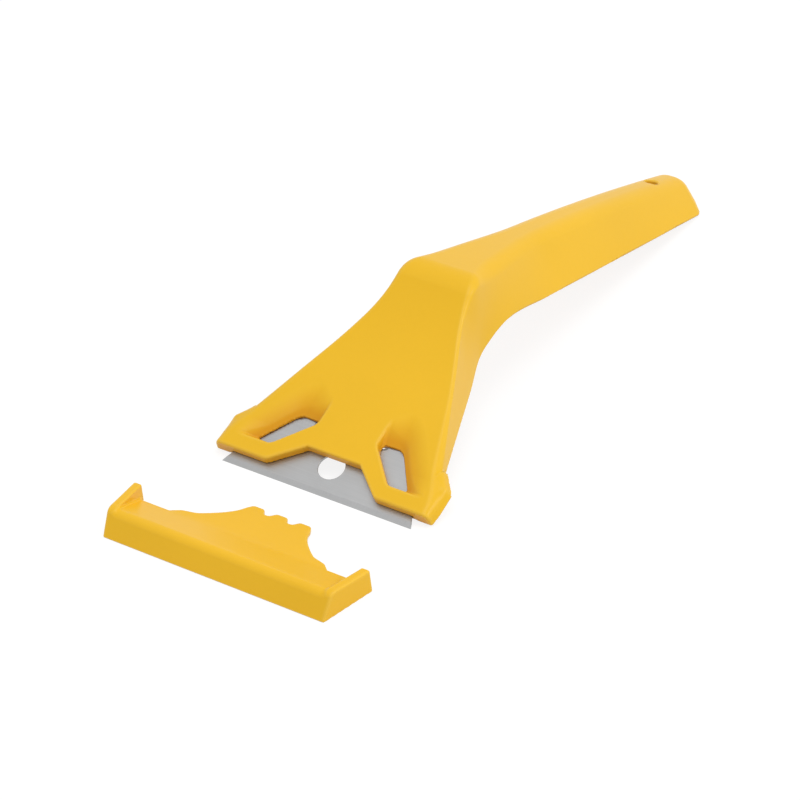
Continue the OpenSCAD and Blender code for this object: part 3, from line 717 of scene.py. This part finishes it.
COVER_ACROSS, COVER_ALONG, COVER_UP = 0.38, 0.36, 0.3
xs = spaced(-38.2, 38.2, COVER_ACROSS)
ys = spaced(COVER_Y - 1, COVER_Y + 33, COVER_ALONG)
zs = spaced(-0.8, 8.2, COVER_UP)
points, faces, normals = skin_of(cover_distance, xs, ys, zs)
cover = make_piece("cover_moulding", points, faces, "cover", normals)

# %% [markdown]
# ## The blade
# The blade is stamped from hardened strip: a trapezoid with a hole in the middle and two nicks in its back
# edge, ground to an edge along its long side. Thin sharp steel needs crisp edges, so it is made from rings
# of points instead: round the outline, in at the end of the grind, in again behind the nicks and round the
# hole, on the upper side and then back on the lower side.

# %% Rays from the hole to the blade's outline
HOLE_V, HOLE_R, STEEL, GRIND, BREAK, EDGE_HALF = 8.9, 3.8, 0.3, 1.6, 0.05, 0.008
NICK_X, NICK_HALF, NICK_DEPTH, NICK_LEAN = 10.5, 1.2, 1.2, 0.05
RAYS, INNER_IN, INNER_SIDE, GROUND_IN, CLOSE = 144, 0.8, 2.0, 0.002, 1e-3


def trapezoid_hit(angle, low, high, side):
    """Where a ray from the hole's middle leaves a trapezoid from v = low to v = high whose slanted ends lie
    side inwards of the blade's own."""
    dx, dv = np.cos(angle), np.sin(angle)
    reach = np.full(angle.shape, FAR)
    end = BLADE_EDGE / 2 - side - HOLE_V * BLADE_SLANT
    for top, bottom in ((high - HOLE_V, dv), (low - HOLE_V, dv), (end, np.abs(dx) + dv * BLADE_SLANT)):
        t = top / np.where(np.abs(bottom) < TINY, TINY, bottom)
        reach = np.where((t > 0) & (t < reach), t, reach)
    return np.stack([dx * reach, HOLE_V + dv * reach], 1)


def ray_angles():
    """Even angles all round, and one through each corner of the outline, the grind and the nicks."""
    half = BLADE_EDGE / 2 - BLADE_DEPTH * BLADE_SLANT
    lean = np.array([-NICK_LEAN, NICK_LEAN])
    nicks = np.concatenate([NICK_X + s * (NICK_HALF + lean) for s in (-1, 1)])
    marks = [(half, BLADE_DEPTH), (BLADE_EDGE / 2, 0), (BLADE_EDGE / 2 - GRIND * BLADE_SLANT, GRIND)]
    marks += [(x, BLADE_DEPTH) for x in nicks]
    marks = np.array([(s * x, v) for x, v in marks for s in (-1, 1)])
    corner = np.arctan2(marks[:, 1] - HOLE_V, marks[:, 0])
    even = np.linspace(-np.pi, np.pi, RAYS, endpoint=False)
    return np.unique(np.round(np.concatenate([even, corner]), 6))


print("blade:", len(ray_angles()), "rays")

# %% Rings of the blade


def blade_rings():
    """Ten rings of points in the blade's own frame, each with the same number of points."""
    angle = ray_angles()
    rim = trapezoid_hit(angle, 0, BLADE_DEPTH, 0)
    keep = (rim[:, 1] < CLOSE) | (rim[:, 1] > GRIND - CLOSE)
    angle, rim = angle[keep], rim[keep]
    cutting, back = rim[:, 1] < CLOSE, rim[:, 1] > BLADE_DEPTH - CLOSE
    nick = back & (np.abs(np.abs(rim[:, 0]) - NICK_X) < NICK_HALF)
    rim[nick, 1] -= NICK_DEPTH
    ray = np.stack([np.cos(angle), np.sin(angle)], 1)
    ground = rim - BREAK * ray
    narrower = 1 - GRIND * BLADE_SLANT * 2 / BLADE_EDGE - GROUND_IN
    ground[cutting] = np.stack([rim[cutting, 0] * narrower, np.full(cutting.sum(), GRIND)], 1)
    inner = trapezoid_hit(angle, GRIND + INNER_IN, BLADE_DEPTH - NICK_DEPTH - INNER_IN, INNER_SIDE)
    centre = np.array([0, HOLE_V])
    flat = [rim, ground, inner, centre + (HOLE_R + BREAK) * ray, centre + HOLE_R * ray]
    full = np.full(len(rim), STEEL)
    thick = [np.where(cutting, EDGE_HALF, STEEL - BREAK), full, full, full, full - BREAK]
    upper = [np.column_stack([f, h]) for f, h in zip(flat, thick)]
    lower = [np.column_stack([f, -h]) for f, h in zip(flat, thick)]
    lower[0][cutting, 2] = 0.0
    return np.array(upper + lower[::-1])


rings = blade_rings()
count, around = rings.shape[:2]
i, j = np.meshgrid(np.arange(count), np.arange(around), indexing="ij")
quads = [i * around + j, i * around + (j + 1) % around, (i + 1) % count * around + (j + 1) % around,
         (i + 1) % count * around + j]
faces = np.stack(quads, -1).reshape(-1, 4)
plan = rings.reshape(-1, 3)
y, z = on_table(plan[:, 1], plan[:, 2])
blade = make_piece("blade_steel", np.stack([plan[:, 0], y, z], 1), faces, "blade")

# %% Plan map of the blade
uv = blade.data.uv_layers.new(name="plan")
corner_of = np.empty(len(blade.data.loops), np.int32)
blade.data.loops.foreach_get("vertex_index", corner_of)
uv.data.foreach_set("uv", plan[corner_of, :2].ravel().astype(np.float32))
print("plan map:", len(corner_of), "corners, in millimetres")

# %% [markdown]
# ## Finish of the mouldings
# The plastic is coloured right through and comes out of a polished mould, so its colour is even and its
# face is a soft gloss. Close up it still has a fine grain, and the colour drifts a little with the flow of
# the melt. The edges get a painted glow, a paler yellow that stands in for the light getting into them, and
# down in the windows a painted shade, a darker and more orange yellow that stands in for the light bouncing
# from wall to wall. Both mouldings share this, so it is one node group: it gives a colour, a roughness and
# a height, and the materials decide what to do with them.

# %% Small helpers for nodes


def node(tree, kind, inputs=(), **settings):
    """Adds a node, sets its properties, and sets or links its inputs by name or number."""
    made = tree.nodes.new("ShaderNode" + kind)
    for name, value in settings.items():
        setattr(made, name, value)
    for name, value in dict(inputs).items():
        if isinstance(value, bpy.types.NodeSocket):
            tree.links.new(value, made.inputs[name])
        else:
            made.inputs[name].default_value = value
    return made


def group(name, ins, outs):
    """A new shader node group with the given sockets, and its two end nodes."""
    tree = bpy.data.node_groups.new(name, "ShaderNodeTree")
    for socket, kind in ins:
        tree.interface.new_socket(socket, in_out="INPUT", socket_type="NodeSocket" + kind)
    for socket, kind in outs:
        tree.interface.new_socket(socket, in_out="OUTPUT", socket_type="NodeSocket" + kind)
    return tree, tree.nodes.new("NodeGroupInput"), tree.nodes.new("NodeGroupOutput")


# %% Node group of the moulded face
PAINTED_EDGE_GLOW, EDGE_GLOW_SHARE, WORN_GLOSS = (1.0, 0.82, 0.30, 1), 0.10, -0.08
RECESS_SHADE_TINT = (0.86, 0.68, 0.5)
FACE_OUT = [("Colour", "Color"), ("Roughness", "Float"), ("Height", "Float")]
FACE_IN = [("Place", "Vector"), ("Colour", "Color"), ("Edge", "Float"), ("Recess", "Float")]
moulded, start, end = group("moulded_face", FACE_IN, FACE_OUT)
grain = node(moulded, "TexNoise", {"Vector": start.outputs["Place"], "Scale": 650.0, "Detail": 3.0})
drift = node(moulded, "TexNoise", {"Vector": start.outputs["Place"], "Scale": 28.0, "Detail": 2.0})
shade = node(moulded, "MapRange", {"Value": drift.outputs["Fac"], "To Min": 0.96, "To Max": 1.04})
speck = node(moulded, "MapRange", {"Value": grain.outputs["Fac"], "To Min": 0.985, "To Max": 1.015})
level = node(moulded, "Math", {0: shade.outputs[0], 1: speck.outputs[0]}, operation="MULTIPLY")
tinted = node(moulded, "VectorMath", {0: start.outputs["Colour"], "Scale": level.outputs[0]},
              operation="SCALE")
# Painted highlight: the edge value mixes the colour a little towards a light yellow, a painted glow for the
# light that gets into the edges.
glow_share = node(moulded, "Math", {0: start.outputs["Edge"], 1: EDGE_GLOW_SHARE}, operation="MULTIPLY")
edge_glowed = node(moulded, "Mix", {"Factor": glow_share.outputs[0], "A": tinted.outputs[0], "B": PAINTED_EDGE_GLOW},
             data_type="RGBA")
# Painted shade: the recess value tints the colour darker and more orange, for the light that bounces about
# in the windows.
shaded_deeper = node(moulded, "VectorMath", {0: edge_glowed.outputs["Result"], 1: RECESS_SHADE_TINT}, operation="MULTIPLY")
recess_shaded = node(moulded, "Mix", {"Factor": start.outputs["Recess"], "A": edge_glowed.outputs["Result"],
                                 "B": shaded_deeper.outputs[0]}, data_type="RGBA")
rough = node(moulded, "MapRange", {"Value": drift.outputs["Fac"], "To Min": 0.29, "To Max": 0.37})
worn = node(moulded, "Math", {0: start.outputs["Edge"], 1: WORN_GLOSS, 2: rough.outputs[0]},
            operation="MULTIPLY_ADD")
moulded.links.new(recess_shaded.outputs["Result"], end.inputs["Colour"])
moulded.links.new(worn.outputs[0], end.inputs["Roughness"])
moulded.links.new(grain.outputs["Fac"], end.inputs["Height"])
print("moulded_face:", len(moulded.nodes), "nodes")

# %% The two yellow plastics


def moulding_finish(name, colour):
    """A moulded plastic of the given colour: the shared group into colour, roughness and a faint bump."""
    m = bpy.data.materials.new(name)
    m.use_nodes = True
    tree = m.node_tree
    place = node(tree, "TexCoord")
    edge = node(tree, "Attribute", attribute_name="edge")
    recess = node(tree, "Attribute", attribute_name="recess")
    face = node(tree, "Group", node_tree=moulded)
    tree.links.new(place.outputs["Object"], face.inputs["Place"])
    tree.links.new(edge.outputs["Fac"], face.inputs["Edge"])
    tree.links.new(recess.outputs["Fac"], face.inputs["Recess"])
    face.inputs["Colour"].default_value = (*colour, 1)
    bump = node(tree, "Bump", {"Height": face.outputs["Height"], "Strength": 0.06, "Distance": 0.0003})
    plastic = tree.nodes["Principled BSDF"]
    plastic.inputs["Specular IOR Level"].default_value = 0.17
    tree.links.new(face.outputs["Colour"], plastic.inputs["Base Color"])
    tree.links.new(face.outputs["Roughness"], plastic.inputs["Roughness"])
    tree.links.new(bump.outputs["Normal"], plastic.inputs["Normal"])
    print(name, "colour", colour)
    return m


moulding.data.materials.append(moulding_finish("yellow_moulding", (0.86, 0.50, 0.020)))
cover.data.materials.append(moulding_finish("yellow_cover", (0.885, 0.505, 0.020)))

# %% [markdown]
# ## Finish of the steel
# The strip is rolled, which leaves fine lines along its length, and the edge is ground across, which leaves
# short lines at right angles to it. The plan map made with the rings gives both directions: u runs along
# the edge and v back from it, in millimetres.

# %% Node group of the ground strip
ROLLED_LINES, GROUND_LINES, GRIND_BLUR = (0.04, 4.0, 1.0), (5.0, 0.25, 1.0), 0.1
strip, start, end = group("ground_strip", [("Plan", "Vector"), ("Colour", "Color")], FACE_OUT)
rolled_at = node(strip, "VectorMath", {0: start.outputs["Plan"], 1: ROLLED_LINES}, operation="MULTIPLY")
ground_at = node(strip, "VectorMath", {0: start.outputs["Plan"], 1: GROUND_LINES}, operation="MULTIPLY")
rolled = node(strip, "TexNoise", {"Vector": rolled_at.outputs[0], "Scale": 1.0, "Detail": 3.0})
ground = node(strip, "TexNoise", {"Vector": ground_at.outputs[0], "Scale": 1.0, "Detail": 2.0})
back = node(strip, "SeparateXYZ", {0: start.outputs["Plan"]})
behind = node(strip, "MapRange", {"Value": back.outputs["Y"], "From Min": GRIND - GRIND_BLUR,
                                  "From Max": GRIND + GRIND_BLUR})
lines = node(strip, "Mix", {"Factor": behind.outputs[0], "A": ground.outputs["Fac"],
                            "B": rolled.outputs["Fac"]})
film = node(strip, "TexNoise", {"Vector": start.outputs["Plan"], "Scale": 0.12, "Detail": 2.0})
shade = node(strip, "MapRange", {"Value": lines.outputs[0], "To Min": 0.90, "To Max": 1.10})
cloud = node(strip, "MapRange", {"Value": film.outputs["Fac"], "To Min": 0.94, "To Max": 1.06})
level = node(strip, "Math", {0: shade.outputs[0], 1: cloud.outputs[0]}, operation="MULTIPLY")
tinted = node(strip, "VectorMath", {0: start.outputs["Colour"], "Scale": level.outputs[0]},
              operation="SCALE")
rough = node(strip, "MapRange", {"Value": lines.outputs[0], "To Min": 0.34, "To Max": 0.50})
strip.links.new(tinted.outputs[0], end.inputs["Colour"])
strip.links.new(rough.outputs[0], end.inputs["Roughness"])
strip.links.new(lines.outputs[0], end.inputs["Height"])
print("ground_strip:", len(strip.nodes), "nodes")

# %% The steel
steel = bpy.data.materials.new("ground_steel")
steel.use_nodes = True
tree = steel.node_tree
flat = node(tree, "UVMap", uv_map="plan")
face = node(tree, "Group", node_tree=strip)
tree.links.new(flat.outputs["UV"], face.inputs["Plan"])
face.inputs["Colour"].default_value = (0.395, 0.398, 0.402, 1)
bump = node(tree, "Bump", {"Height": face.outputs["Height"], "Strength": 0.05, "Distance": 0.00005})
metal = tree.nodes["Principled BSDF"]
metal.inputs["Metallic"].default_value = 1.0
tree.links.new(face.outputs["Colour"], metal.inputs["Base Color"])
tree.links.new(face.outputs["Roughness"], metal.inputs["Roughness"])
tree.links.new(bump.outputs["Normal"], metal.inputs["Normal"])
blade.data.materials.append(steel)
print("materials:", [m.name for m in bpy.data.materials if m.users])

# %% [markdown]
# ## Table and light
# The tool lies on a white sheet in a light tent, so nearly all light is soft and comes from everywhere. A
# large soft box overhead makes the backs a little brighter than the fronts, and a smaller one on the right
# lights the walls and draws a thin bright line along the face's right edge. To the camera, and in gloss,
# the sheet and the tent glow white, while the rays that light the tool find them darker. So the background
# is white with only a faint shadow, and the colours aren't washed out.

# %% Rays that show the surroundings


def seen_rays(tree):
    """1 for the rays that show the surroundings, which are the camera's, glossy and transmission rays, and
    0 for the rays that light the object."""
    path = node(tree, "LightPath")
    shown = node(tree, "Math", {0: path.outputs["Is Camera Ray"], 1: path.outputs["Is Glossy Ray"]},
                 operation="MAXIMUM")
    return node(tree, "Math", {0: shown.outputs[0], 1: path.outputs["Is Transmission Ray"]},
                operation="MAXIMUM").outputs[0]


# %% Table
SHEET = 4.0
PAPER, PAPER_SEEN, PAPER_GLOW = (0.8, 0.8, 0.8, 1), (0.2, 0.2, 0.2, 1), 0.84
mesh = bpy.data.meshes.new("table_sheet")
corners = [(-SHEET, -SHEET, 0), (SHEET, -SHEET, 0), (SHEET, SHEET, 0), (-SHEET, SHEET, 0)]
mesh.from_pydata(corners, [], [(0, 1, 2, 3)])
table_sheet = bpy.data.objects.new("table_sheet", mesh)
bpy.context.scene.collection.objects.link(table_sheet)
paper = bpy.data.materials.new("white_paper")
paper.use_nodes = True
tree = paper.node_tree
sheet = tree.nodes["Principled BSDF"]
sheet.inputs["Roughness"].default_value = 1.0
sheet.inputs["Specular IOR Level"].default_value = 0.0
sheet.inputs["Emission Color"].default_value = (1, 1, 1, 1)
seen = seen_rays(tree)
tone = node(tree, "Mix", {"Factor": seen, "A": PAPER, "B": PAPER_SEEN}, data_type="RGBA")
glow = node(tree, "Math", {0: seen, 1: PAPER_GLOW}, operation="MULTIPLY")
tree.links.new(tone.outputs["Result"], sheet.inputs["Base Color"])
tree.links.new(glow.outputs[0], sheet.inputs["Emission Strength"])
mesh.materials.append(paper)
print("table sheet", 2 * SHEET, "m wide")

# %% World and lamps
ROOM_LIGHT, ROOM_SEEN = 0.67, 1.0
scene = bpy.context.scene
world = bpy.data.worlds.new("studio")
scene.world = world
world.use_nodes = True
tree = world.node_tree
back = tree.nodes["Background"]
back.inputs["Color"].default_value = (1, 1, 1, 1)
level = node(tree, "MapRange", {"Value": seen_rays(tree), "To Min": ROOM_LIGHT, "To Max": ROOM_SEEN})
tree.links.new(level.outputs[0], back.inputs["Strength"])


def turned_to(place, aim):
    """The turn that points a lamp's or camera's own -Z from its place to its aim."""
    return (Vector(aim) - Vector(place)).to_track_quat("-Z", "Y").to_euler()


def soft_lamp(name, place, size, power):
    """A square soft box that faces the middle of the table."""
    lamp = bpy.data.lights.new(name, "AREA")
    lamp.shape, lamp.size, lamp.energy = "SQUARE", size, power
    obj = bpy.data.objects.new(name, lamp)
    scene.collection.objects.link(obj)
    obj.location = place
    obj.rotation_euler = turned_to(place, (0, 0, 0))
    print(name, power, "W at", place)


soft_lamp("key_box", place=(0.1, -0.15, 1.2), size=0.7, power=4.0)
soft_lamp("side_box", place=(1.0, 0.25, 0.75), size=0.4, power=3.5)

# %% [markdown]
# ## Camera
# The camera stands in front, to the right and well above, with a long lens, so that the lines along the
# tool draw together only a little. Its focal length is written in pixels of a frame 800 wide; on a sensor
# of 36 mm that gives the lens in millimetres.

# %% Camera
FOCAL_PX, FRAME_PX, SENSOR = 2962.7, 800, 36.0
EYE, AIM = (0.3722, -0.60615, 0.4299), (-0.00591, -0.02585, 0.00112)
camera = bpy.data.cameras.new("camera")
camera.sensor_width = SENSOR
camera.lens = SENSOR * FOCAL_PX / FRAME_PX
camera.clip_start, camera.clip_end = 0.05, 20
eye = bpy.data.objects.new("camera", camera)
scene.collection.objects.link(eye)
eye.location = EYE
eye.rotation_euler = turned_to(EYE, AIM)
scene.camera = eye
scene.view_settings.view_transform = "Standard"
print("lens", round(camera.lens, 1), "mm")
